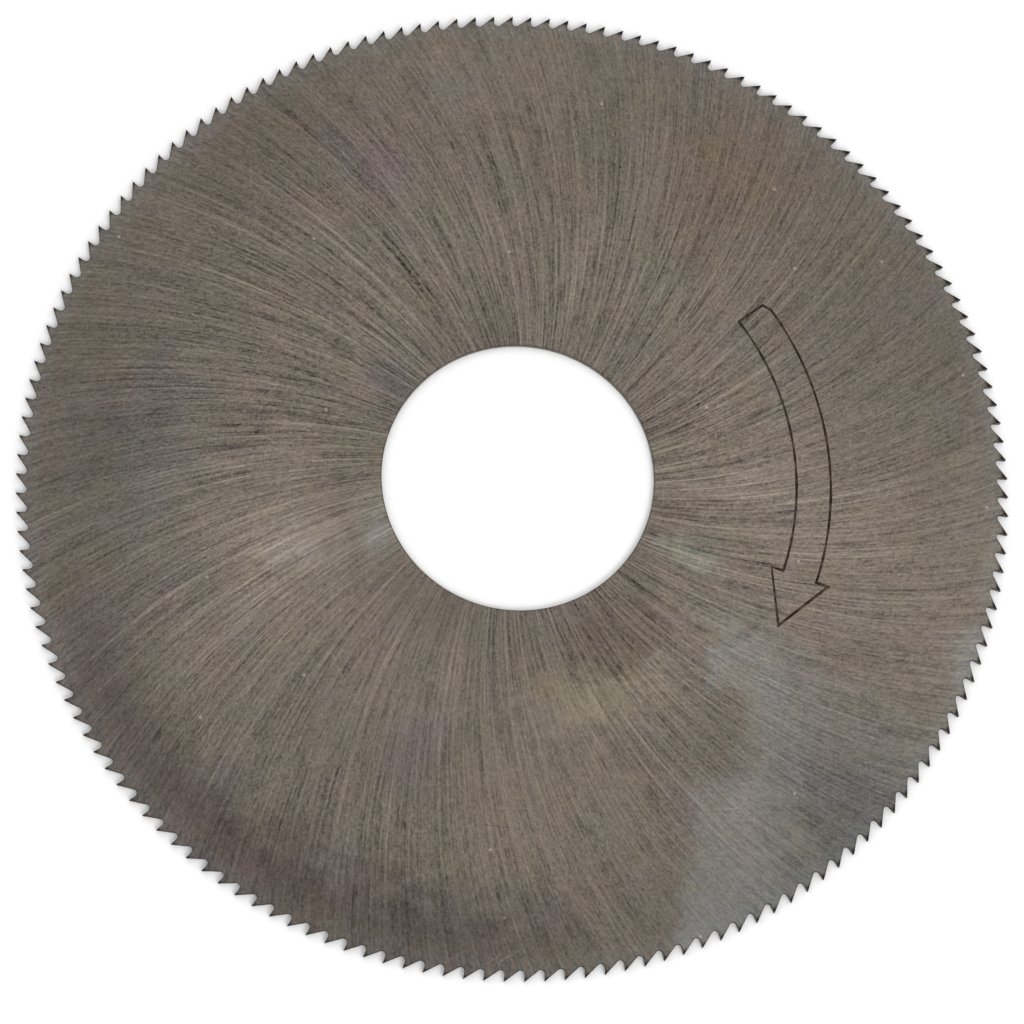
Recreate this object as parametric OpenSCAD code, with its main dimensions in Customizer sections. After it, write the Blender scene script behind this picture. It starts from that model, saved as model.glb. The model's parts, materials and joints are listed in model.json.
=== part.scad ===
// Slitting saw: a thin ground disc with fine teeth round its rim, an arbor bore, hollow-ground sides
// and an engraved arrow that shows which way it turns. It lies flat: the bore runs along +Z, the
// origin is on the bore's axis at the lower face, and the arrow is on the upper face.

/* [Blade] */
// Diameter over the tooth tips
outer_d = 80; // [63:1:125]
// Diameter of the arbor bore
bore_d = 22; // [10:0.5:32]
// Thickness of the blade at its rim
blade_t = 0.5; // [0.3:0.05:3]
// Width of the 45 degree edge break at each end of the bore
edge_break = 0.04; // [0.01:0.01:0.1]

/* [Teeth] */
// Number of teeth round the rim
tooth_count = 160; // [80:4:200]
// Angle in degrees at which each tooth's back falls away from the tangent at its tip
back_angle = 37; // [25:1:45]
// Angle in degrees by which each cutting face undercuts the radius at its tip
rake_angle = 6; // [0:1:10]
// Radius at the bottom of each gullet
gullet_r = 0.3; // [0.1:0.05:0.45]
// Angle in degrees from +X to the first tooth tip
first_tooth = 0.62; // [0:0.01:2.25]

/* [Hollow grinding] */
// Width of the flat clamping land round the bore
hub_w = 7; // [3:0.5:12]
// Width of the flat land between the gullets and the hollow
rim_w = 0.7; // [0.3:0.1:4]
// Depth of the hollow on each side, reached at the clamping land
hollow_depth = 0.03; // [0.01:0.005:0.1]

/* [Direction arrow] */
// Gap between the clamping land and the arrow's shaft
arrow_gap = 4.6; // [1:0.1:8]
// Width of the arrow's shaft
shaft_w = 2.8; // [1:0.1:4]
// Distance that each barb of the arrow's head stands out beside the shaft
barb_w = 1; // [0.5:0.1:2]
// Angle in degrees from +X to the arrow's tail
tail_angle = 36.4; // [0:0.1:90]
// Angle in degrees that the arrow's shaft covers
shaft_arc = 55.8; // [20:0.1:120]
// Angle in degrees that the arrow's head covers
head_arc = 10.5; // [5:0.1:20]
// Length along the shaft of the cut across the tail's outer corner, which goes half as far inwards
tail_cut = 0.7; // [0.3:0.1:1]
// Width of the engraved line
line_w = 0.2; // [0.1:0.01:0.4]
// Depth of the engraved line below the clamping land
engrave_depth = 0.02; // [0.01:0.005:0.05]

/* [Hidden] */
$fn = 360;
// Straight steps that make up each gullet's round bottom
GULLET_STEPS = 6;
// Straight steps that make up each long side of the arrow's shaft
SHAFT_STEPS = 24;

outer_r = outer_d / 2;
bore_r = bore_d / 2;
hub_r = bore_r + hub_w;
pitch_angle = 360 / tooth_count;
// Angle at which a tooth's back would meet the next cutting face
gullet_angle = 90 - back_angle + pitch_angle - rake_angle;
tip_chord = 2 * outer_r * sin(pitch_angle / 2);
// Length of a tooth's back from its tip to that meeting point
back_length = tip_chord * cos(pitch_angle / 2 - rake_angle) / sin(gullet_angle);
root_r = norm(gullet_centre(0)) - gullet_r;
rim_r = root_r - rim_w;
// Heights of the clamping land on the lower and the upper side
hub_low = hollow_depth;
hub_high = blade_t - hollow_depth;
shaft_inner_r = hub_r + arrow_gap;
shaft_outer_r = shaft_inner_r + shaft_w;
head_base = tail_angle - shaft_arc;
// Angle that the shaft's outer side covers, up to the cut corner
outer_arc = shaft_arc - tail_cut / shaft_outer_r * 180 / PI;

function polar(r, angle) = [r * cos(angle), r * sin(angle)];

// Direction from the bottom corner of a gullet to the open side, halfway between its two walls
function gullet_axis(tip_angle) = tip_angle + pitch_angle - rake_angle - gullet_angle / 2;

// Centre of the round bottom that touches a tooth's back and the next cutting face
function gullet_centre(tip_angle) =
    polar(outer_r, tip_angle)
    + polar(back_length, tip_angle + 90 + back_angle)
    + polar(gullet_r / sin(gullet_angle / 2), gullet_axis(tip_angle));

// Tip of one tooth and the round bottom of the gullet behind it
function tooth_points(tip_angle) = [
    polar(outer_r, tip_angle),
    for (step = [0 : GULLET_STEPS])
        let (turn = gullet_angle / 2 + (180 - gullet_angle) * step / GULLET_STEPS)
        gullet_centre(tip_angle) + polar(gullet_r, gullet_axis(tip_angle) + 270 - turn)
];

// Outline of the arrow from its tip along the outer side to the tail and back along the inner side
arrow_outline = [
    polar((shaft_inner_r + shaft_outer_r) / 2, head_base - head_arc),
    polar(shaft_outer_r + barb_w, head_base),
    for (step = [0 : SHAFT_STEPS]) polar(shaft_outer_r, head_base + outer_arc * step / SHAFT_STEPS),
    polar(shaft_outer_r - tail_cut / 2, tail_angle),
    for (step = [0 : SHAFT_STEPS]) polar(shaft_inner_r, tail_angle - shaft_arc * step / SHAFT_STEPS),
    polar(shaft_inner_r - barb_w, head_base)
];

// Outward normal of the edge from one point to the next of a counterclockwise outline
function edge_normal(from, to) = [to.y - from.y, from.x - to.x] / norm(to - from);

// An outline with every edge moved outwards by a distance, and its corners kept sharp
function grown(outline, distance) = [
    for (i = [0 : len(outline) - 1])
        let (
            before = outline[(i + len(outline) - 1) % len(outline)],
            here = outline[i],
            after = outline[(i + 1) % len(outline)],
            normal_in = edge_normal(before, here),
            normal_out = edge_normal(here, after)
        )
        here + distance * (normal_in + normal_out) / (1 + normal_in * normal_out)
];

// Disc with the teeth cut into its rim
module toothed_disc() {
    linear_extrude(blade_t)
        polygon([for (k = [0 : tooth_count - 1]) each tooth_points(first_tooth + k * pitch_angle)]);
}

// Arbor bore with an edge break at both ends
module arbor_bore() {
    mouth_r = bore_r + edge_break + blade_t;
    rotate_extrude()
        polygon([
            [0, hub_low - blade_t],
            [mouth_r, hub_low - blade_t],
            [bore_r, hub_low + edge_break],
            [bore_r, hub_high - edge_break],
            [mouth_r, hub_high + blade_t],
            [0, hub_high + blade_t]
        ]);
}

// What the wheel takes off one side: flat over the clamping land, then a shallow cone that runs out at
// the rim land. Heights are measured from that side's face, and the cone goes on past it.
module hollow() {
    clear_height = hollow_depth / 2;
    clear_r = rim_r + (rim_r - hub_r) * clear_height / hollow_depth;
    rotate_extrude()
        polygon([[0, -hollow_depth], [hub_r, -hollow_depth], [clear_r, clear_height], [0, clear_height]]);
}

// Engraved line round the arrow
module arrow_groove() {
    linear_extrude(blade_t)
        difference() {
            polygon(grown(arrow_outline, line_w / 2));
            polygon(grown(arrow_outline, -line_w / 2));
        }
}

module saw_blade() {
    color([0.45, 0.42, 0.38])
        difference() {
            toothed_disc();
            arbor_bore();
            translate([0, 0, blade_t]) hollow();
            mirror([0, 0, 1]) hollow();
            translate([0, 0, hub_high - engrave_depth]) arrow_groove();
        }
}

saw_blade();
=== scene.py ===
"""Slitting saw: a thin ground steel disc with fine teeth, an arbor bore and an engraved arrow.

The blade's mesh, its ground finish and the studio around it are worked out from a few sizes and colours,
which stand in the property groups below. Lengths are in metres and angles in radians, and the shaders
work in millimetres.
"""

import json
from math import cos, pi, radians, sin

import bpy
import numpy as np
from bpy.props import FloatProperty, FloatVectorProperty, IntProperty, PointerProperty
from mathutils import Matrix, Vector


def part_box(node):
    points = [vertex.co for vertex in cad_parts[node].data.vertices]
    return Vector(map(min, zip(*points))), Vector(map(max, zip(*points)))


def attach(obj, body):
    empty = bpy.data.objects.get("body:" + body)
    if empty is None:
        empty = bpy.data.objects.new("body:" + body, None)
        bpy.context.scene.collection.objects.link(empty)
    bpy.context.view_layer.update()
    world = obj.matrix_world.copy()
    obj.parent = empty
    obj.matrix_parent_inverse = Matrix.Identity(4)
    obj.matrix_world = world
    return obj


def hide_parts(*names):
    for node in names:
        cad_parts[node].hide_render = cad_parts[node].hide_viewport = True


bl_info = {
    "name": "Slitting Saw",
    "version": (1, 0, 0),
    "blender": (4, 5, 0),
    "location": "3D View > Sidebar > Saw",
    "description": "Builds a ground steel slitting saw and a plain studio to show it in",
    "category": "Add Mesh",
}

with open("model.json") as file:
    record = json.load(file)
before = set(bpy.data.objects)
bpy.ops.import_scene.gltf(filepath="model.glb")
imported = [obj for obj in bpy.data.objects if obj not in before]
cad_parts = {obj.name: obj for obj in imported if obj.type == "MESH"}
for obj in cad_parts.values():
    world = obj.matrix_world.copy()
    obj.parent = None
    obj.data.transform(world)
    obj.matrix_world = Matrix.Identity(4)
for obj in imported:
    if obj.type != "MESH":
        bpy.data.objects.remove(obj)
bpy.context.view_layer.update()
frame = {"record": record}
BLADE_LOW, BLADE_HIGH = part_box("saw_blade")
MOUNTS = {mount["name"]: mount for mount in frame["record"]["mounts"]}

MM = 0.001
# Angle from +X to the first tooth tip
FIRST_TOOTH = radians(0.62)

# Points along each tooth's back, round its gullet and up the next cutting face
BACK_POINTS = 4
ARC_POINTS = 8
FACE_POINTS = 2
# Share of the cutting face that its points take up, clear of the corner that the edge line turns at the tip
FACE_SHARE = 0.5
# How far ahead of the outline the rows further in start, as a share of a tooth's pitch
TURN_LEAD = 0.38
# Rows of the grid across the clamping land and across the hollow
HUB_ROWS = 3
HOLLOW_ROWS = 7
# Width of the dark line along the edges
EDGE_LINE = 0.1 * MM
# Points along each long side of the arrow, and how far the engraving cutter stands above the blade
SHAFT_POINTS = 72
CUTTER_RISE = 0.1 * MM
# Sines that make the engraved line's width waver: share of the width, radians a point, and start
WAVERS = ((0.10, 0.37, 0.0), (0.12, 0.83, 1.0))
# Edges that bend more than this stay sharp
SHARP_ANGLE = radians(25)
# Depth of the grinding scores
SCORE_DEPTH = 0.003 * MM
# Height of the floor below the blade, which keeps the two faces from coinciding
FLOOR_DROP = 0.01 * MM
FLOOR_HALF_WIDTH = 10.0
# The two square lamps
LAMP_WIDTH = 0.25
KEY_PLACE = (0.19, -0.36, 0.43)
FILL_PLACE = (-0.3, 0.45, 0.4)

# Places in the blade's list of materials
STEEL, OXIDE, ENGRAVED = range(3)

# How far the height shifts the pattern along the arcs, so that the two sides differ
SIDE_SHIFT = 60000

# Stains: place, half length, half width, turn in degrees, share at full strength, and tint. Most are
# tarnish;
# the broad grey patch on the left is painted shade, and the broad grey ones at the right are painted
# highlight.
STAINS_AND_PAINTED_LIGHT = (
    # Painted shade: a broad darker patch over the left of the disc
    ((-34.0, -2.0), 28.0, 13.0, 97, 0.0, (0.74, 0.74, 0.76)),
    ((3.0, -28.0), 14.0, 9.0, 0, 0.0, (1.16, 1.16, 1.15)),
    ((-1.0, 35.0), 20.0, 8.0, 0, 0.0, (1.16, 1.16, 1.15)),
    ((36.8, -15.0), 6.0, 3.5, 110, 0.1, (1.12, 1.22, 1.32)),
    ((-29.5, 2.6), 12.0, 5.5, 76, 0.2, (0.95, 1.02, 1.09)),
    ((-18.0, -5.9), 5.4, 3.0, 15, 0.0, (1.30, 1.33, 1.41)),
    ((-11.2, -4.4), 3.8, 2.1, 110, 0.0, (1.28, 1.38, 1.54)),
    ((-21.5, -0.5), 6.5, 4.0, 10, 0.0, (0.91, 0.91, 0.92)),
    ((-10.4, 8.2), 3.6, 2.6, 130, 0.0, (0.80, 0.86, 1.00)),
    ((13.4, -6.2), 4.6, 1.8, -32, 0.0, (1.46, 1.64, 1.62)),
    ((17.5, 26.0), 8.0, 7.0, 60, 0.0, (1.06, 0.96, 0.89)),
    ((6.8, -18.0), 8.5, 4.2, 8, 0.0, (1.32, 1.35, 1.25)),
    ((14.4, -11.4), 5.0, 1.9, -35, 0.0, (1.30, 1.30, 1.26)),
    ((11.3, -20.4), 4.0, 2.0, 0, 0.0, (1.14, 1.12, 1.10)),
    ((18.0, -25.5), 2.6, 1.6, 60, 0.0, (1.14, 1.14, 1.14)),
    ((17.8, -35.6), 5.0, 2.4, 28, 0.0, (0.86, 0.86, 0.82)),
    ((30.6, -25.0), 5.0, 2.6, 50, 0.0, (0.86, 0.84, 0.82)),
    ((-8.5, -22.5), 4.8, 3.6, 40, 0.0, (0.92, 0.90, 1.04)),
    ((-11.5, 26.5), 5.0, 3.8, 150, 0.0, (0.99, 0.96, 1.11)),
    ((-21.0, 27.0), 12.0, 7.0, 40, 0.0, (0.92, 0.91, 0.90)),
    # Painted highlight: broad lighter patches at the right rim and the lower right
    ((37.5, 1.0), 13.0, 4.0, 88, 0.0, (1.10, 1.12, 1.12)),
    ((28.0, -8.0), 15.0, 11.0, -20, 0.0, (1.06, 1.06, 1.06)),
)
# Scratches: place, half length, turn in degrees, and tint
SCRATCHES = (
    ((-1.8, -38.2), 1.1, 35, (1.5, 1.5, 1.5)),
    ((-0.8, -38.1), 1.7, 30, (1.6, 1.6, 1.6)),
    ((-4.9, -38.1), 1.0, 33, (1.4, 1.4, 1.4)),
    ((16.8, -26.6), 1.5, 4, (1.5, 1.5, 1.5)),
    ((8.7, -27.5), 0.9, 14, (1.4, 1.4, 1.4)),
    ((-1.7, -28.1), 2.2, -7, (0.6, 0.6, 0.6)),
)
SCRATCH_HALF_WIDTH = 0.07
# Wear: place, half length, half width, turn in degrees, and share of the grinding's contrast that is left
WEAR = (
    ((-6.0, -17.0), 20.0, 12.0, -20, 0.78),
    ((-9.2, -9.2), 11.0, 5.0, -45, 0.80),
    ((-14.8, -4.4), 5.0, 3.4, 105, 0.70),
    ((14.8, 4.4), 5.0, 3.0, 80, 1.22),
    ((-20.0, 14.0), 20.0, 15.0, 55, 1.14),
)


# Property groups


def length(name, description, millimetres):
    """A length property, with its default in millimetres."""
    default = millimetres * MM
    return FloatProperty(name=name, description=description, default=default, unit="LENGTH", precision=5)


def angle(name, description, degrees):
    """An angle property, with its default in degrees."""
    return FloatProperty(name=name, description=description, default=radians(degrees), subtype="ANGLE")


def colour(name, description, value):
    """A colour property."""
    return FloatVectorProperty(
        name=name, description=description, default=value, subtype="COLOR", min=0, max=1
    )


def factor(name, description, value):
    """An amount from none to all."""
    return FloatProperty(name=name, description=description, default=value, subtype="FACTOR", min=0, max=1)


class SawBladeSizes(bpy.types.PropertyGroup):
    """Sizes of the blade, its teeth and its hollow-ground sides."""

    outer_radius: length(
        "Outer radius",
        "From the bore's axis to the tooth tips",
        (BLADE_HIGH[0] - BLADE_LOW[0]) / 2 / cos(FIRST_TOOTH) / MM,
    )
    bore_radius: length("Bore radius", "Radius of the arbor bore", MOUNTS["arbor_bore"]["dims"]["r_mm"])
    thickness: length("Thickness", "Thickness of the blade at its rim", (BLADE_HIGH[2] - BLADE_LOW[2]) / MM)
    hollow_depth: length(
        "Hollow depth",
        "How far each side falls from the rim to the clamping land",
        MOUNTS["hub_face_bottom"]["pos_m"][2] / MM,
    )
    hub_width: length("Clamping land", "Width of the flat land round the bore", 7)
    rim_width: length("Rim land", "Width of the flat land between the gullets and the hollow", 0.7)
    bore_break: length("Bore edge break", "Width of the edge break at each end of the bore", 0.04)
    tooth_break: length("Tooth edge break", "Width of the worn edge along the teeth", 0.012)
    tooth_count: IntProperty(name="Teeth", description="Number of teeth round the rim", default=160)
    first_tooth: FloatProperty(
        name="First tooth",
        description="Angle from +X to the first tooth tip",
        default=FIRST_TOOTH,
        subtype="ANGLE",
    )
    back_angle: angle("Back angle", "Angle at which a tooth's back falls from the tangent at its tip", 37)
    rake_angle: angle("Rake angle", "Angle by which a cutting face undercuts the radius at its tip", 6)
    gullet_radius: length("Gullet radius", "Radius at the bottom of each gullet", 0.3)


class SawArrowSizes(bpy.types.PropertyGroup):
    """Sizes of the engraved arrow that shows which way the saw turns."""

    gap: length("Gap", "Between the clamping land and the arrow's shaft", 4.6)
    shaft_width: length("Shaft width", "Width of the arrow's shaft", 2.8)
    barb_width: length("Barb width", "How far each barb of the head stands out beside the shaft", 1.0)
    tail_angle: angle("Tail angle", "Angle from +X to the arrow's tail", 36.4)
    shaft_arc: angle("Shaft arc", "Angle that the shaft covers", 55.8)
    head_arc: angle("Head arc", "Angle that the head covers", 10.5)
    tail_cut: length("Tail cut", "Length of the cut across the tail's outer corner", 0.7)
    line_width: length("Line width", "Width of the engraved line", 0.2)
    depth: length("Depth", "Depth of the engraved line below the clamping land", 0.02)


class SawFinish(bpy.types.PropertyGroup):
    """Colours and amounts of the ground steel finish."""

    steel_colour: colour("Ground steel", "Mean colour of the ground sides", (0.1765, 0.1500, 0.1240))
    # The tips and edges are darkened towards this colour too; on the upper right the tips' darkening is
    # painted shade
    oxide_and_shade_colour: colour("Tooth oxide", "Dark skin of the gullets, tips and edges", (0.020, 0.017, 0.015))
    engraved_colour: colour("Engraved line", "Burnt colour of the engraved line", (0.0245, 0.0180, 0.0122))
    wheel_diameter: length("Grinding wheel", "Diameter of the arcs that the wheel leaves", 108.7)
    line_contrast: factor("Line contrast", "How far the grinding lines lighten and darken the steel", 0.8)
    # Also sets the painted shade and highlight patches that stand among the stains
    stain_and_painted_light_strength: factor("Stains", "How strongly the tarnish stains show", 1.0)
    roughness: factor("Roughness", "Mean roughness of the ground sides", 0.42)
    anisotropy: factor("Anisotropy", "How far the grinding lines draw reflections out sideways", 0.8)


class SawStage(bpy.types.PropertyGroup):
    """Floor, light and camera."""

    floor_colour: colour("Floor", "Colour of the floor", (0.97, 0.97, 0.97))
    world_strength: FloatProperty(
        name="Room light",
        description="Strength of the even light from all round",
        default=0.92,
        min=0,
    )
    key_power: FloatProperty(
        name="Key light",
        description="Power of the soft lamp in front of the saw",
        default=0.85,
        min=0,
        unit="POWER",
    )
    fill_power: FloatProperty(
        name="Fill light",
        description="Power of the soft lamp behind the saw",
        default=0.08,
        min=0,
        unit="POWER",
    )
    camera_target: FloatVectorProperty(
        name="Camera target",
        description="Point that the camera looks at",
        default=(-0.52 * MM, -2.99 * MM, 0.5 * MM),
        subtype="TRANSLATION",
    )
    camera_azimuth: angle("Camera azimuth", "Turn of the camera round the saw; none looks along +Y", -15.27)
    camera_elevation: angle("Camera elevation", "Height of the camera above the horizon", 76.05)
    camera_distance: length("Camera distance", "From the camera to the point that it looks at", 192.0)
    lens: FloatProperty(
        name="Lens",
        description="Focal length on a 36 mm sensor",
        default=84.2,
        unit="CAMERA",
    )


# Meshes from arrays


def moved_out(outline, distance):
    """A closed counterclockwise outline with every edge moved outwards by a distance.

    Points are complex numbers, x + iy. Each point moves along the sum of the outward unit normals of its
    two edges, divided by one plus their dot product, which keeps the corners sharp and the edges parallel.
    """
    edges = np.roll(outline, -1) - outline
    leaving = -1j * edges / np.abs(edges)
    arriving = np.roll(leaving, 1)
    return outline + distance * (leaving + arriving) / (1 + (leaving * arriving.conj()).real)


def closed_grid_mesh(name, rows, heights):
    """A mesh on a grid that closes in both directions, like a ring.

    rows is an array of rows by columns of complex points, each row a closed outline that runs
    counterclockwise, and heights gives each row's z. The rows follow the section from the inside over the
    top to the outside and back underneath, so the faces point outwards.
    """
    row_count, column_count = rows.shape
    points = np.empty((row_count, column_count, 3))
    points[..., 0] = rows.real
    points[..., 1] = rows.imag
    points[..., 2] = np.asarray(heights)[:, None]
    index = np.arange(row_count * column_count).reshape(row_count, column_count)
    next_row = np.roll(index, -1, axis=0)
    faces = np.stack([index, next_row, np.roll(next_row, -1, axis=1), np.roll(index, -1, axis=1)], axis=-1)
    mesh = bpy.data.meshes.new(name)
    mesh.from_pydata(points.reshape(-1, 3), [], faces.reshape(-1, 4).tolist())
    return mesh


def tooth_outline(sizes):
    """The toothed outline of the blade, a turn angle for each of its points, and the gullets' least radius.

    From a tip the back runs straight down, the gullet's arc touches the back and the next cutting face, and
    that face runs straight up to the next tip. One tooth is made with its tip on +X and then turned to
    every tip angle. The turn angle grows with the length along the outline, a little ahead of it, so that
    lines from the rows further in reach each cutting face through its own tooth.
    """
    pitch = 2 * pi / sizes.tooth_count
    corner = pi / 2 - sizes.back_angle + pitch - sizes.rake_angle
    chord = 2 * sizes.outer_radius * sin(pitch / 2)
    back_length = chord * cos(pitch / 2 - sizes.rake_angle) / sin(corner)
    axis = pitch - sizes.rake_angle - corner / 2
    centre = (
        sizes.outer_radius
        + back_length * np.exp(1j * (pi / 2 + sizes.back_angle))
        + sizes.gullet_radius / sin(corner / 2) * np.exp(1j * axis)
    )
    arc_turn = axis + 1.5 * pi - corner / 2 - (pi - corner) * np.linspace(0, 1, ARC_POINTS)
    arc = centre + sizes.gullet_radius * np.exp(1j * arc_turn)
    tip = sizes.outer_radius
    next_tip = sizes.outer_radius * np.exp(1j * pitch)
    back = tip + (arc[0] - tip) * np.linspace(0, 1, BACK_POINTS, endpoint=False)
    face = arc[-1] + (next_tip - arc[-1]) * np.linspace(0, FACE_SHARE, FACE_POINTS + 1)[1:]
    tooth = np.concatenate([back, arc, face])
    along = np.cumsum(np.abs(np.diff(tooth, prepend=tip, append=next_tip)))
    share = along[:-1] / along[-1] + TURN_LEAD
    tips = sizes.first_tooth + pitch * np.arange(sizes.tooth_count)
    outline = (np.exp(1j * tips)[:, None] * tooth).ravel()
    turn = (tips[:, None] + pitch * share).ravel()
    return outline, turn, np.abs(arc).min()


def blade_mesh(sizes):
    """The blade as one closed grid: its section, carried once round the axis.

    The section starts at the bore's upper edge break, crosses the flat clamping land, climbs the hollow's
    shallow cone to the rim land, follows the teeth over their edge breaks and comes back underneath at
    heights mirrored about the middle of the thickness. The edge attribute grows towards the edges of the
    bore and the teeth, and the walls of the teeth take the oxide.
    """
    outline, turn, root_radius = tooth_outline(sizes)
    hub_radius = sizes.bore_radius + sizes.hub_width
    rim_radius = root_radius - sizes.rim_width
    land_start = sizes.bore_radius + sizes.bore_break
    radii = np.concatenate([
        [sizes.bore_radius, land_start, land_start + EDGE_LINE],
        np.linspace(land_start, hub_radius, HUB_ROWS + 1)[1:],
        np.linspace(hub_radius, rim_radius, HOLLOW_ROWS + 1)[1:],
        [(rim_radius + root_radius) / 2],
    ])
    fall = np.interp(radii, [hub_radius, rim_radius], [sizes.hollow_depth, 0])
    fall[0] += sizes.bore_break
    circles = radii[:, None] * np.exp(1j * turn)
    teeth = [moved_out(outline, -EDGE_LINE), moved_out(outline, -sizes.tooth_break), outline]
    upper_rows = np.vstack([circles, *teeth])
    upper = sizes.thickness - np.concatenate([fall, [0, 0, sizes.tooth_break]])
    edge = np.zeros(len(upper))
    edge[[0, 1, -2, -1]] = 0.7, 0.7, 1, 1
    mesh = closed_grid_mesh(
        "ground_blade",
        np.vstack([upper_rows, upper_rows[::-1]]),
        np.concatenate([upper, sizes.thickness - upper[::-1]]),
    )
    columns = len(outline)
    shade = mesh.attributes.new("edge", "FLOAT", "POINT")
    shade.data.foreach_set("value", np.repeat(np.concatenate([edge, edge[::-1]]), columns))
    material_index = np.full((2 * len(upper), columns), STEEL, dtype=np.int32)
    material_index[len(upper) - 2:len(upper) + 1] = OXIDE
    mesh.polygons.foreach_set("material_index", material_index.ravel())
    return mesh


def arrow_cutter_mesh(sizes, arrow):
    """The tool that engraves the arrow: a rectangular section carried round the arrow's outline.

    The outline starts at the tip, runs by the outer barb along an arc to the tail, whose outer corner is
    cut off, and back along an inner arc, so it turns counterclockwise. The section's sides are that outline
    moved in and out by half a line, and a sum of two sines along it makes the line's width waver.
    """
    inner = sizes.bore_radius + sizes.hub_width + arrow.gap
    outer = inner + arrow.shaft_width
    head_base = arrow.tail_angle - arrow.shaft_arc
    outer_turn = np.linspace(head_base, arrow.tail_angle - arrow.tail_cut / outer, SHAFT_POINTS)
    inner_turn = np.linspace(arrow.tail_angle, head_base, SHAFT_POINTS)
    outline = np.concatenate([
        [(inner + outer) / 2 * np.exp(1j * (head_base - arrow.head_arc))],
        [(outer + arrow.barb_width) * np.exp(1j * head_base)],
        outer * np.exp(1j * outer_turn),
        [(outer - arrow.tail_cut / 2) * np.exp(1j * arrow.tail_angle)],
        inner * np.exp(1j * inner_turn),
        [(inner - arrow.barb_width) * np.exp(1j * head_base)],
    ])
    point = np.arange(len(outline))
    waver = 1 + sum(share * np.sin(pace * point + start) for share, pace, start in WAVERS)
    half_line = arrow.line_width / 2 * waver
    low = sizes.thickness - sizes.hollow_depth - arrow.depth
    high = sizes.thickness + CUTTER_RISE
    inside = moved_out(outline, -half_line)
    outside = moved_out(outline, half_line)
    sides = np.array([inside, inside, outside, outside])
    mesh = closed_grid_mesh("arrow_cutter", sides, [low, high, high, low])
    mesh.polygons.foreach_set("material_index", np.full(len(mesh.polygons), ENGRAVED, dtype=np.int32))
    return mesh


# Shader wiring


class Wiring:
    """Adds nodes to a node tree and wires them. Most methods return the socket that carries their result."""

    def __init__(self, tree):
        self.tree = tree

    def add(self, kind, inputs=(), **settings):
        """A node with its settings and its inputs."""
        node = self.tree.nodes.new(kind)
        for name, value in settings.items():
            setattr(node, name, value)
        self.feed(node, inputs)
        return node

    def feed(self, node, inputs):
        """Sets a node's inputs, given as pairs of socket and value or source."""
        for socket, value in dict(inputs).items():
            if isinstance(value, bpy.types.NodeSocket):
                self.tree.links.new(value, node.inputs[socket])
            else:
                node.inputs[socket].default_value = value

    def maths(self, operation, *values):
        return self.add("ShaderNodeMath", enumerate(values), operation=operation).outputs[0]

    def vector(self, operation, *values):
        return self.add("ShaderNodeVectorMath", enumerate(values), operation=operation).outputs[0]

    def length(self, vector):
        return self.add("ShaderNodeVectorMath", {0: vector}, operation="LENGTH").outputs["Value"]

    def scaled(self, vector, amount):
        return self.add("ShaderNodeVectorMath", {0: vector, "Scale": amount}, operation="SCALE").outputs[0]

    def turned(self, vector, turn):
        """A vector turned about Z."""
        return self.add(
            "ShaderNodeVectorRotate", {"Vector": vector, "Angle": turn}, rotation_type="Z_AXIS"
        ).outputs[0]

    def noise(self, vector, scale=1.0, detail=2.0, roughness=0.5):
        """Soft noise about 0.5."""
        inputs = {"Vector": vector, "Scale": scale, "Detail": detail, "Roughness": roughness}
        return self.add("ShaderNodeTexNoise", inputs).outputs[0]

    def between(self, value, low, high, to_low=0.0, to_high=1.0):
        """A smooth step from one value to another as the input goes from low to high."""
        inputs = {"Value": value, "From Min": low, "From Max": high, "To Min": to_low, "To Max": to_high}
        return self.add("ShaderNodeMapRange", inputs, interpolation_type="SMOOTHSTEP").outputs[0]

    def blend(self, amount, first, second):
        """Two numbers mixed by an amount."""
        return self.add("ShaderNodeMix", {0: amount, 2: first, 3: second}).outputs[0]

    def mix(self, amount, first, second, blend="MIX"):
        """Two colours mixed by an amount."""
        inputs = {0: amount, 6: first, 7: second}
        return self.add("ShaderNodeMix", inputs, data_type="RGBA", blend_type=blend).outputs[2]


def new_material(name):
    """An empty node material: its wiring and its shader."""
    material = bpy.data.materials.new(name)
    material.use_nodes = True
    shader = material.node_tree.nodes["Principled BSDF"]
    return material, Wiring(material.node_tree), shader


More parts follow.
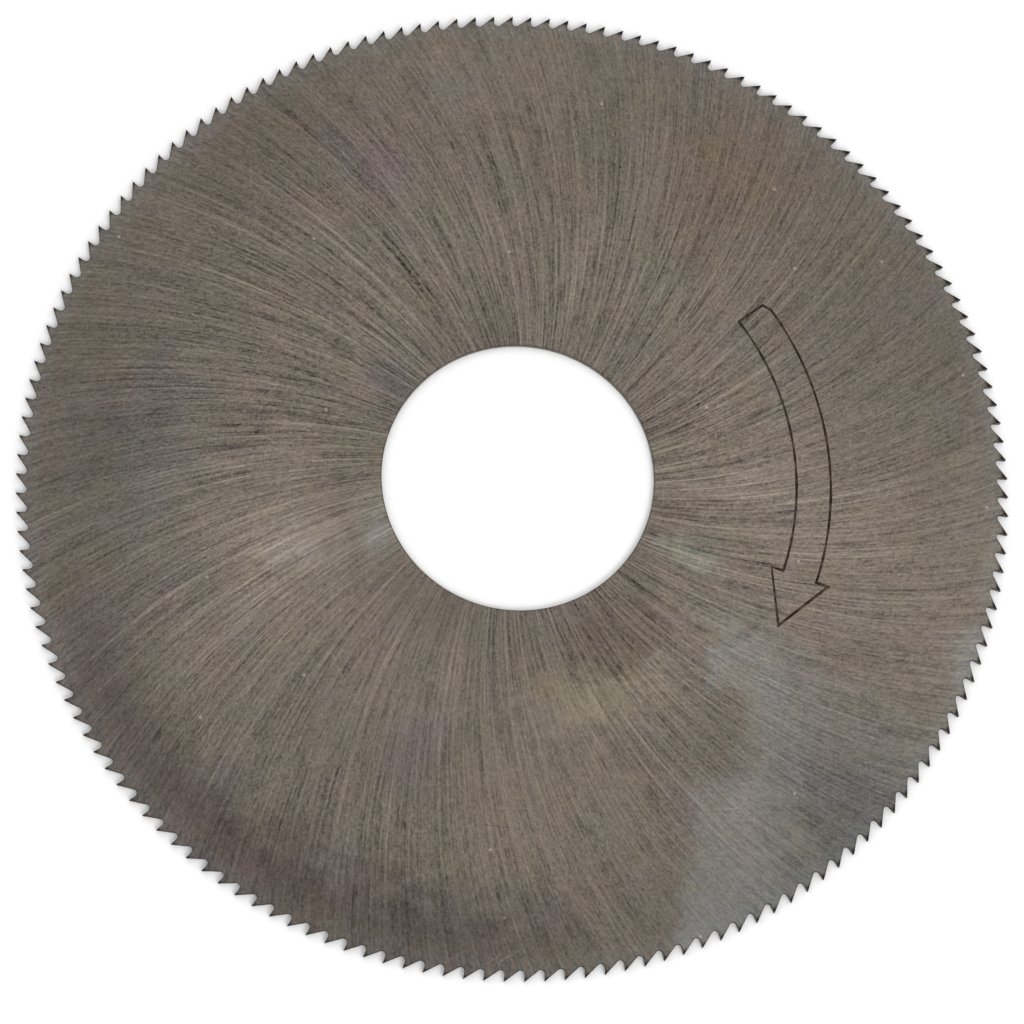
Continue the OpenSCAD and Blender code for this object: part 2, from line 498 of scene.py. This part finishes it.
class Ground:
    """Coordinates of the ground sides, in millimetres.

    The wheel leaves arcs of one size that all pass through the axis. At radius r such an arc leans from the
    radius by the angle whose sine is r over the wheel's diameter. So a place turned back by that angle has
    one direction all along an arc, and lines are noise that is fine in that direction and long in radius.
    """

    def __init__(self, wiring, finish):
        place = wiring.add("ShaderNodeTexCoord").outputs["Object"]
        self.wiring = wiring
        self.flat = wiring.vector("MULTIPLY", place, (1 / MM, 1 / MM, 0))
        self.height = wiring.add("ShaderNodeSeparateXYZ", {0: place}).outputs["Z"]
        self.radius = wiring.length(self.flat)
        self.lean = wiring.maths("ARCSINE", wiring.maths("DIVIDE", self.radius, finish.wheel_diameter / MM))
        turned_back = wiring.turned(self.flat, wiring.maths("MULTIPLY", self.lean, -1))
        side = wiring.maths("MULTIPLY", self.height, SIDE_SHIFT)
        along = wiring.add("ShaderNodeCombineXYZ", {"Z": wiring.maths("ADD", self.radius, side)}).outputs[0]
        self.swirl = wiring.vector("ADD", wiring.vector("NORMALIZE", turned_back), along)
        self.outer_part = wiring.between(self.radius, 16, 28)
        # Where two patterns mix half and half they even each other out, which this gain makes good
        self.gain = wiring.between(wiring.maths("PINGPONG", self.outer_part, 0.5), 0, 0.5, 1, 1.4)

    def lines(self, per_turn, per_length, detail):
        """Noise about nothing, drawn out along the grinding arcs.

        The two numbers give its fineness round the axis and along the arcs.
        """
        stretched = self.wiring.vector("MULTIPLY", self.swirl, (per_turn, per_turn, per_length))
        return self.wiring.maths("SUBTRACT", self.wiring.noise(stretched, 1.0, detail), 0.5)

    def even_lines(self, per_turn, per_length):
        """Lines that double in number towards the rim, so that they stay about as fine there."""
        inner = self.lines(per_turn, per_length, 1)
        outer = self.lines(2 * per_turn, per_length, 1)
        return self.wiring.maths("MULTIPLY", self.wiring.blend(self.outer_part, inner, outer), self.gain)

    def about(self, place, turn, half_length, half_width):
        """Distance from a place, where an ellipse round it lies at 1. The turn is in degrees."""
        inputs = {
            "Vector": self.flat,
            "Location": (*place, 0),
            "Rotation": (0, 0, radians(turn)),
            "Scale": (half_length, half_width, 1),
        }
        mapped = self.wiring.add("ShaderNodeMapping", inputs, vector_type="TEXTURE").outputs[0]
        return self.wiring.length(mapped)

    def towards(self, turn):
        """How far a place lies from the axis in a direction, given in degrees."""
        direction = (cos(radians(turn)), sin(radians(turn)), 0)
        return self.wiring.add(
            "ShaderNodeVectorMath", {0: self.flat, 1: direction}, operation="DOT_PRODUCT"
        ).outputs["Value"]


def grinding_tone(ground):
    """How much lighter or darker the grinding makes the steel, about nothing, and its longer scores.

    Fine lines, longer deep scores and broad bands, which come and go in patches and fade from the clamping
    land towards the rim. Short dashes and an even grain lie over them, and some places are worn.
    """
    wiring = ground.wiring
    fine = ground.even_lines(90, 0.22)
    score = ground.even_lines(72, 0.045)
    dash = ground.even_lines(84, 2.2)
    broad = ground.lines(16, 0.06, 1)
    patch = wiring.noise(ground.flat, 0.8, 2)
    grain = wiring.maths("SUBTRACT", wiring.noise(ground.flat, 5.0, 2, 0.7), 0.5)
    tone = wiring.between(score, -0.24, -0.06, -0.06, 0.0)
    tone = wiring.maths("ADD", tone, wiring.between(score, 0.10, 0.26, 0.0, 0.30))
    for layer, amount in ((fine, 1.35), (score, 1.0), (broad, 0.4)):
        tone = wiring.maths("MULTIPLY_ADD", layer, amount, tone)
    tone = wiring.maths("MULTIPLY", tone, wiring.between(patch, 0.3, 0.7, 0.8, 1.25))
    tone = wiring.maths("MULTIPLY", tone, wiring.between(ground.radius, 15, 38, 1.27, 0.68))
    short = wiring.maths("MULTIPLY_ADD", dash, 1.3, wiring.maths("MULTIPLY", grain, 1.7))
    short = wiring.maths("MULTIPLY", short, wiring.between(ground.radius, 30, 38, 1, 0.85))
    tone = wiring.maths("ADD", tone, short)
    for place, half_length, half_width, turn, left in WEAR:
        distance = ground.about(place, turn, half_length, half_width)
        tone = wiring.maths("MULTIPLY", tone, wiring.between(distance, 0.4, 1, left, 1))
    return wiring.maths("MULTIPLY_ADD", wiring.maths("SUBTRACT", patch, 0.5), -0.4, tone), score


def land_stain(ground):
    """Cover and tint of the stain on the clamping land, which stops short at the land's edge."""
    wiring = ground.wiring
    cover = wiring.between(ground.about((7.8, -13.2), 35, 6.4, 4.6), 1, 0.4)
    cover = wiring.maths("MULTIPLY", cover, wiring.between(ground.radius, 18.05, 17.85))
    return cover, (0.86, 0.84, 0.82, 1)


def rim_stain(ground, wander):
    """Cover and tint of the stain that follows the rim on the lower left."""
    wiring = ground.wiring
    bearing = wiring.maths("DIVIDE", ground.towards(236), ground.radius)
    cover = wiring.between(wiring.maths("MULTIPLY_ADD", wander, 8, ground.radius), 31.5, 37)
    cover = wiring.maths("MULTIPLY", cover, wiring.between(ground.radius, 36.5, 38.5, 1, 0.72))
    cover = wiring.maths("MULTIPLY", cover, wiring.between(bearing, 0.62, 0.96))
    return cover, (0.66, 0.63, 0.68, 1)


def corner_stain(ground, wander):
    """Cover and tint of the largest stain, which fills a corner between two edges.

    Its left edge has a bay. It is pale beside that edge, and darker and bluer away from both.
    """
    wiring = ground.wiring
    from_left = wiring.maths("SUBTRACT", ground.towards(-7.3), 16.64)
    from_left = wiring.maths("MULTIPLY_ADD", wander, 7, from_left)
    from_top = wiring.maths("SUBTRACT", ground.towards(-120), 2.31)
    from_top = wiring.maths("MULTIPLY_ADD", wander, -6, from_top)
    cover = wiring.between(from_left, -0.8, 1.8)
    cover = wiring.maths("MULTIPLY", cover, wiring.between(from_top, -3, 2))
    bay = wiring.maths("MULTIPLY_ADD", wander, 1.8, ground.about((15.4, -20.6), 70, 5.2, 3.4))
    cover = wiring.maths("MULTIPLY", cover, wiring.between(bay, 0.3, 1.4))
    deep = wiring.mix(wiring.between(from_top, 1, 7), (1.08, 1.16, 1.22, 1), (0.84, 0.93, 1.03, 1))
    return cover, wiring.mix(wiring.between(from_left, 4, 12), (1.28, 1.43, 1.56, 1), deep)


def stained_and_painted(ground, steel, strength):
    """The steel colour with the tarnish stains, painted shade and highlight patches, and scratches on its
    upper side.

    Most stains are ellipses with a wandering edge, and each stain tints what is under it.
    """
    wiring = ground.wiring
    wander = wiring.maths("SUBTRACT", wiring.noise(ground.flat, 0.4, 3, 0.6), 0.5)
    covers = []
    for place, half_length, half_width, turn, core, tint in STAINS_AND_PAINTED_LIGHT:
        distance = ground.about(place, turn, half_length, half_width)
        distance = wiring.maths("MULTIPLY_ADD", wander, 1.2, distance)
        covers.append((wiring.between(distance, 1, core), (*tint, 1)))
    for place, half_length, turn, tint in SCRATCHES:
        distance = ground.about(place, turn, half_length, SCRATCH_HALF_WIDTH)
        covers.append((wiring.between(distance, 1, 0), (*tint, 1)))
    covers += land_stain(ground), rim_stain(ground, wander), corner_stain(ground, wander)
    upper = wiring.between(ground.height, 0.2 * MM, 0.3 * MM, 0, strength)
    for cover, tint in covers:
        steel = wiring.mix(wiring.maths("MULTIPLY", cover, upper), steel, tint, "MULTIPLY")
    return steel


def specks(ground):
    """Sparse bright specks: the middles of a few cells of a wide cell pattern."""
    wiring = ground.wiring
    inputs = {"Vector": ground.flat, "Scale": 0.13}
    cells = wiring.add("ShaderNodeTexVoronoi", inputs, voronoi_dimensions="2D").outputs
    lot = wiring.add("ShaderNodeSeparateColor", {0: cells["Color"]}).outputs[0]
    middle = wiring.between(cells["Distance"], 0.024, 0.008)
    return wiring.maths("MULTIPLY", middle, wiring.maths("GREATER_THAN", lot, 0.7))


def ground_colour(ground, tone, finish):
    """Colour of the ground sides: a warm grey with a slight cast, the stains with their painted shade and
    highlight patches, the grinding lines, and a painted highlight round the clamping land.

    Pale stains and patches add no contrast to the lines, and dark ones dim them.
    """
    wiring = ground.wiring
    # Painted highlight: the steel and its lines lighten by up to a tenth out to 18 mm round the clamping
    # land, then dim slightly towards the rim
    painted_highlight_by_radius = wiring.maths(
        "MULTIPLY",
        wiring.between(ground.radius, 12, 18, 1, 1.10),
        wiring.between(ground.radius, 18, 34, 1, 0.87),
    )
    lines = wiring.maths("MULTIPLY", wiring.maths("MULTIPLY", tone, finish.line_contrast), painted_highlight_by_radius)
    lines = wiring.maths("ADD", lines, specks(ground))
    cast = wiring.add("ShaderNodeTexNoise", {"Vector": ground.flat, "Scale": 0.22, "Detail": 2}).outputs[1]
    cast = wiring.vector("MULTIPLY_ADD", cast, (0.11, 0.06, 0.24), (0.945, 0.97, 0.88))
    plain = wiring.vector("MULTIPLY", cast, finish.steel_colour)
    steel = stained_and_painted(ground, plain, finish.stain_and_painted_light_strength)
    steel = wiring.mix(wiring.between(ground.radius, 37.8, 38.8), steel, (1.03, 1.08, 1.14, 1), "MULTIPLY")
    lines = wiring.scaled(wiring.vector("MINIMUM", plain, steel), lines)
    return wiring.vector("ADD", wiring.scaled(steel, painted_highlight_by_radius), lines)


def edge_dark(ground):
    """How dark the edges and the tips are. On the upper right the tips are dark further down, which is
    painted shade.
    """
    wiring = ground.wiring
    edge = wiring.add("ShaderNodeAttribute", attribute_name="edge").outputs["Fac"]
    # Painted shade: towards the upper right the tips darken from up to 0.12 mm further in
    reach = wiring.maths("MULTIPLY_ADD", ground.towards(40), 0.003, ground.radius)
    tip = wiring.between(reach, 39.42, 39.8)
    return wiring.maths("MAXIMUM", wiring.maths("MULTIPLY", edge, 0.6), tip)


def ground_steel(finish):
    """Surface-ground steel: grinding arcs over a warm grey, with tarnish, painted shade and highlight, dark
    edges and dark tips.
    """
    material, wiring, shader = new_material("ground_steel")
    ground = Ground(wiring, finish)
    tone, score = grinding_tone(ground)
    lit = ground_colour(ground, tone, finish)
    across = wiring.turned(ground.flat, wiring.maths("ADD", ground.lean, pi / 2))
    spaces = {"convert_from": "OBJECT", "convert_to": "WORLD"}
    across = wiring.add("ShaderNodeVectorTransform", {0: across}, **spaces).outputs[0]
    relief = {"Strength": 1.0, "Distance": SCORE_DEPTH, "Height": score}
    wiring.feed(shader, {
        "Base Color": wiring.mix(edge_dark(ground), lit, (*finish.oxide_and_shade_colour, 1)),
        "Metallic": 1.0,
        "Roughness": wiring.maths("MULTIPLY_ADD", score, 0.3, finish.roughness),
        "Anisotropic": finish.anisotropy,
        "Tangent": wiring.vector("NORMALIZE", across),
        "Normal": wiring.add("ShaderNodeBump", relief).outputs[0],
    })
    return material


def mottled(name, colour, pale, per_metre, roughness, depth, constants):
    """A material that wanders between a colour and a paler copy of it, rougher and lower where it is dark.

    pale is the copy's brightness as a multiple, roughness a pair for the dark and the pale places, depth
    the height between them, and constants what stands on the shader's other sockets.
    """
    material, wiring, shader = new_material(name)
    place = wiring.add("ShaderNodeTexCoord").outputs["Object"]
    mottle = wiring.noise(place, per_metre, 3, 0.6)
    share = wiring.between(mottle, 0.35, 0.7)
    relief = {"Strength": 0.6, "Distance": depth, "Height": mottle}
    wiring.feed(shader, {
        "Base Color": wiring.mix(share, (*colour, 1), (*(pale * value for value in colour), 1)),
        "Roughness": wiring.between(mottle, 0.35, 0.7, *roughness),
        "Normal": wiring.add("ShaderNodeBump", relief).outputs[0],
        **constants,
    })
    return material


def tooth_oxide(finish):
    """Dark skin on the walls of the teeth and the gullets."""
    return mottled(
        "tooth_oxide",
        finish.oxide_and_shade_colour,
        pale=5.5,
        per_metre=4000,
        roughness=(0.6, 0.35),
        depth=0.005 * MM,
        constants={"Metallic": 0.8},
    )


def engraved_line(finish):
    """Burnt floor of the engraved line."""
    return mottled(
        "engraved_line",
        finish.engraved_colour,
        pale=3.5,
        per_metre=1500,
        roughness=(0.7, 0.5),
        depth=0.005 * MM,
        constants={"Metallic": 0.9},
    )


def floor_paper(stage):
    """Matt pale floor with a trace of tooth in its surface."""
    return mottled(
        "floor_paper",
        stage.floor_colour,
        pale=0.995,
        per_metre=900,
        roughness=(0.95, 0.85),
        depth=0.002 * MM,
        constants={"Specular IOR Level": 0.2},
    )


# Operators


def new_object(context, name, data):
    """An object in the scene's collection."""
    made = bpy.data.objects.new(name, data)
    context.collection.objects.link(made)
    return made


class SAW_OT_blade(bpy.types.Operator):
    """Build the blade with its ground finish"""

    bl_idname = "saw.blade"
    bl_label = "Saw Blade"

    def execute(self, context):
        finish = context.scene.saw_finish
        mesh = blade_mesh(context.scene.saw_blade_sizes)
        for make in (ground_steel, tooth_oxide, engraved_line):
            mesh.materials.append(make(finish))
        blade = new_object(context, "ground_blade", mesh)
        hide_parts("saw_blade")
        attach(blade, "root")
        return {"FINISHED"}


class SAW_OT_arrow(bpy.types.Operator):
    """Engrave the direction arrow into the blade's upper side"""

    bl_idname = "saw.arrow"
    bl_label = "Direction Arrow"

    def execute(self, context):
        blade = bpy.data.objects["ground_blade"]
        cutter_mesh = arrow_cutter_mesh(context.scene.saw_blade_sizes, context.scene.saw_arrow_sizes)
        cutter = new_object(context, "arrow_cutter", cutter_mesh)
        engraving = blade.modifiers.new("engraving", "BOOLEAN")
        engraving.operation = "DIFFERENCE"
        engraving.solver = "EXACT"
        engraving.object = cutter
        context.view_layer.objects.active = blade
        bpy.ops.object.modifier_apply(modifier=engraving.name)
        bpy.data.objects.remove(cutter)
        bpy.data.meshes.remove(cutter_mesh)
        blade.data.shade_smooth()
        blade.data.set_sharp_from_angle(angle=SHARP_ANGLE)
        return {"FINISHED"}


class SAW_OT_stage(bpy.types.Operator):
    """Lay the floor and set the light and the camera"""

    bl_idname = "saw.stage"
    bl_label = "Studio"

    def execute(self, context):
        stage = context.scene.saw_stage
        self.lay_floor(context, stage)
        self.set_light(context, stage)
        self.set_camera(context, stage)
        context.scene.view_settings.view_transform = "Standard"
        return {"FINISHED"}

    def lay_floor(self, context, stage):
        sides = FLOOR_HALF_WIDTH * np.array([-1, 1])
        x, y = np.meshgrid(sides, sides)
        corners = np.stack([x, y, np.full_like(x, -FLOOR_DROP)], axis=-1).reshape(-1, 3)
        mesh = bpy.data.meshes.new("floor")
        mesh.from_pydata(corners, [], [(0, 1, 3, 2)])
        mesh.materials.append(floor_paper(stage))
        new_object(context, "floor", mesh)

    def set_light(self, context, stage):
        world = bpy.data.worlds.new("studio")
        world.use_nodes = True
        wiring = Wiring(world.node_tree)
        rays = wiring.add("ShaderNodeLightPath").outputs
        seen = wiring.maths("MAXIMUM", rays["Is Camera Ray"], rays["Is Glossy Ray"])
        seen = wiring.maths("MAXIMUM", seen, rays["Is Transmission Ray"])
        strength = wiring.between(seen, 0, 1, stage.world_strength, 1.0)
        background = world.node_tree.nodes["Background"]
        wiring.feed(background, {"Color": (1, 1, 1, 1), "Strength": strength})
        context.scene.world = world
        lamps = (("key", stage.key_power, KEY_PLACE), ("fill", stage.fill_power, FILL_PLACE))
        for name, power, place in lamps:
            light = bpy.data.lights.new(name, "AREA")
            light.energy = power
            light.shape = "RECTANGLE"
            light.size = LAMP_WIDTH
            light.size_y = LAMP_WIDTH
            lamp = new_object(context, name, light)
            lamp.location = place
            lamp.rotation_euler = (-lamp.location).to_track_quat("-Z", "Y").to_euler()

    def set_camera(self, context, stage):
        data = bpy.data.cameras.new("camera")
        data.lens = stage.lens
        data.sensor_width = 36
        data.clip_start = 1 * MM
        camera = new_object(context, "camera", data)
        turn, rise = stage.camera_azimuth, stage.camera_elevation
        back = Vector((sin(turn) * cos(rise), -cos(turn) * cos(rise), sin(rise)))
        right = Vector((0, 1, 0)).cross(back).normalized()
        up = back.cross(right)
        place = Vector(stage.camera_target) + back * stage.camera_distance
        camera.matrix_world = Matrix.Translation(place) @ Matrix((right, up, back)).transposed().to_4x4()
        context.scene.camera = camera


class SAW_PT_panel(bpy.types.Panel):
    """The saw's pieces and its studio, in the order in which they are made"""

    bl_idname = "SAW_PT_panel"
    bl_label = "Slitting Saw"
    bl_space_type = "VIEW_3D"
    bl_region_type = "UI"
    bl_category = "Saw"

    def draw(self, context):
        for operator in OPERATORS:
            self.layout.operator(operator.bl_idname)


GROUPS = {
    "saw_blade_sizes": SawBladeSizes,
    "saw_arrow_sizes": SawArrowSizes,
    "saw_finish": SawFinish,
    "saw_stage": SawStage,
}
OPERATORS = (SAW_OT_blade, SAW_OT_arrow, SAW_OT_stage)


def register():
    for cls in (*GROUPS.values(), *OPERATORS, SAW_PT_panel):
        bpy.utils.register_class(cls)
    for name, group in GROUPS.items():
        setattr(bpy.types.Scene, name, PointerProperty(type=group))


def unregister():
    for name in GROUPS:
        delattr(bpy.types.Scene, name)
    for cls in (SAW_PT_panel, *reversed(OPERATORS), *GROUPS.values()):
        bpy.utils.unregister_class(cls)


def main():
    """Makes the saw and its studio."""
    register()
    bpy.ops.saw.blade()
    bpy.ops.saw.arrow()
    bpy.ops.saw.stage()


if __name__ == "__main__":
    main()
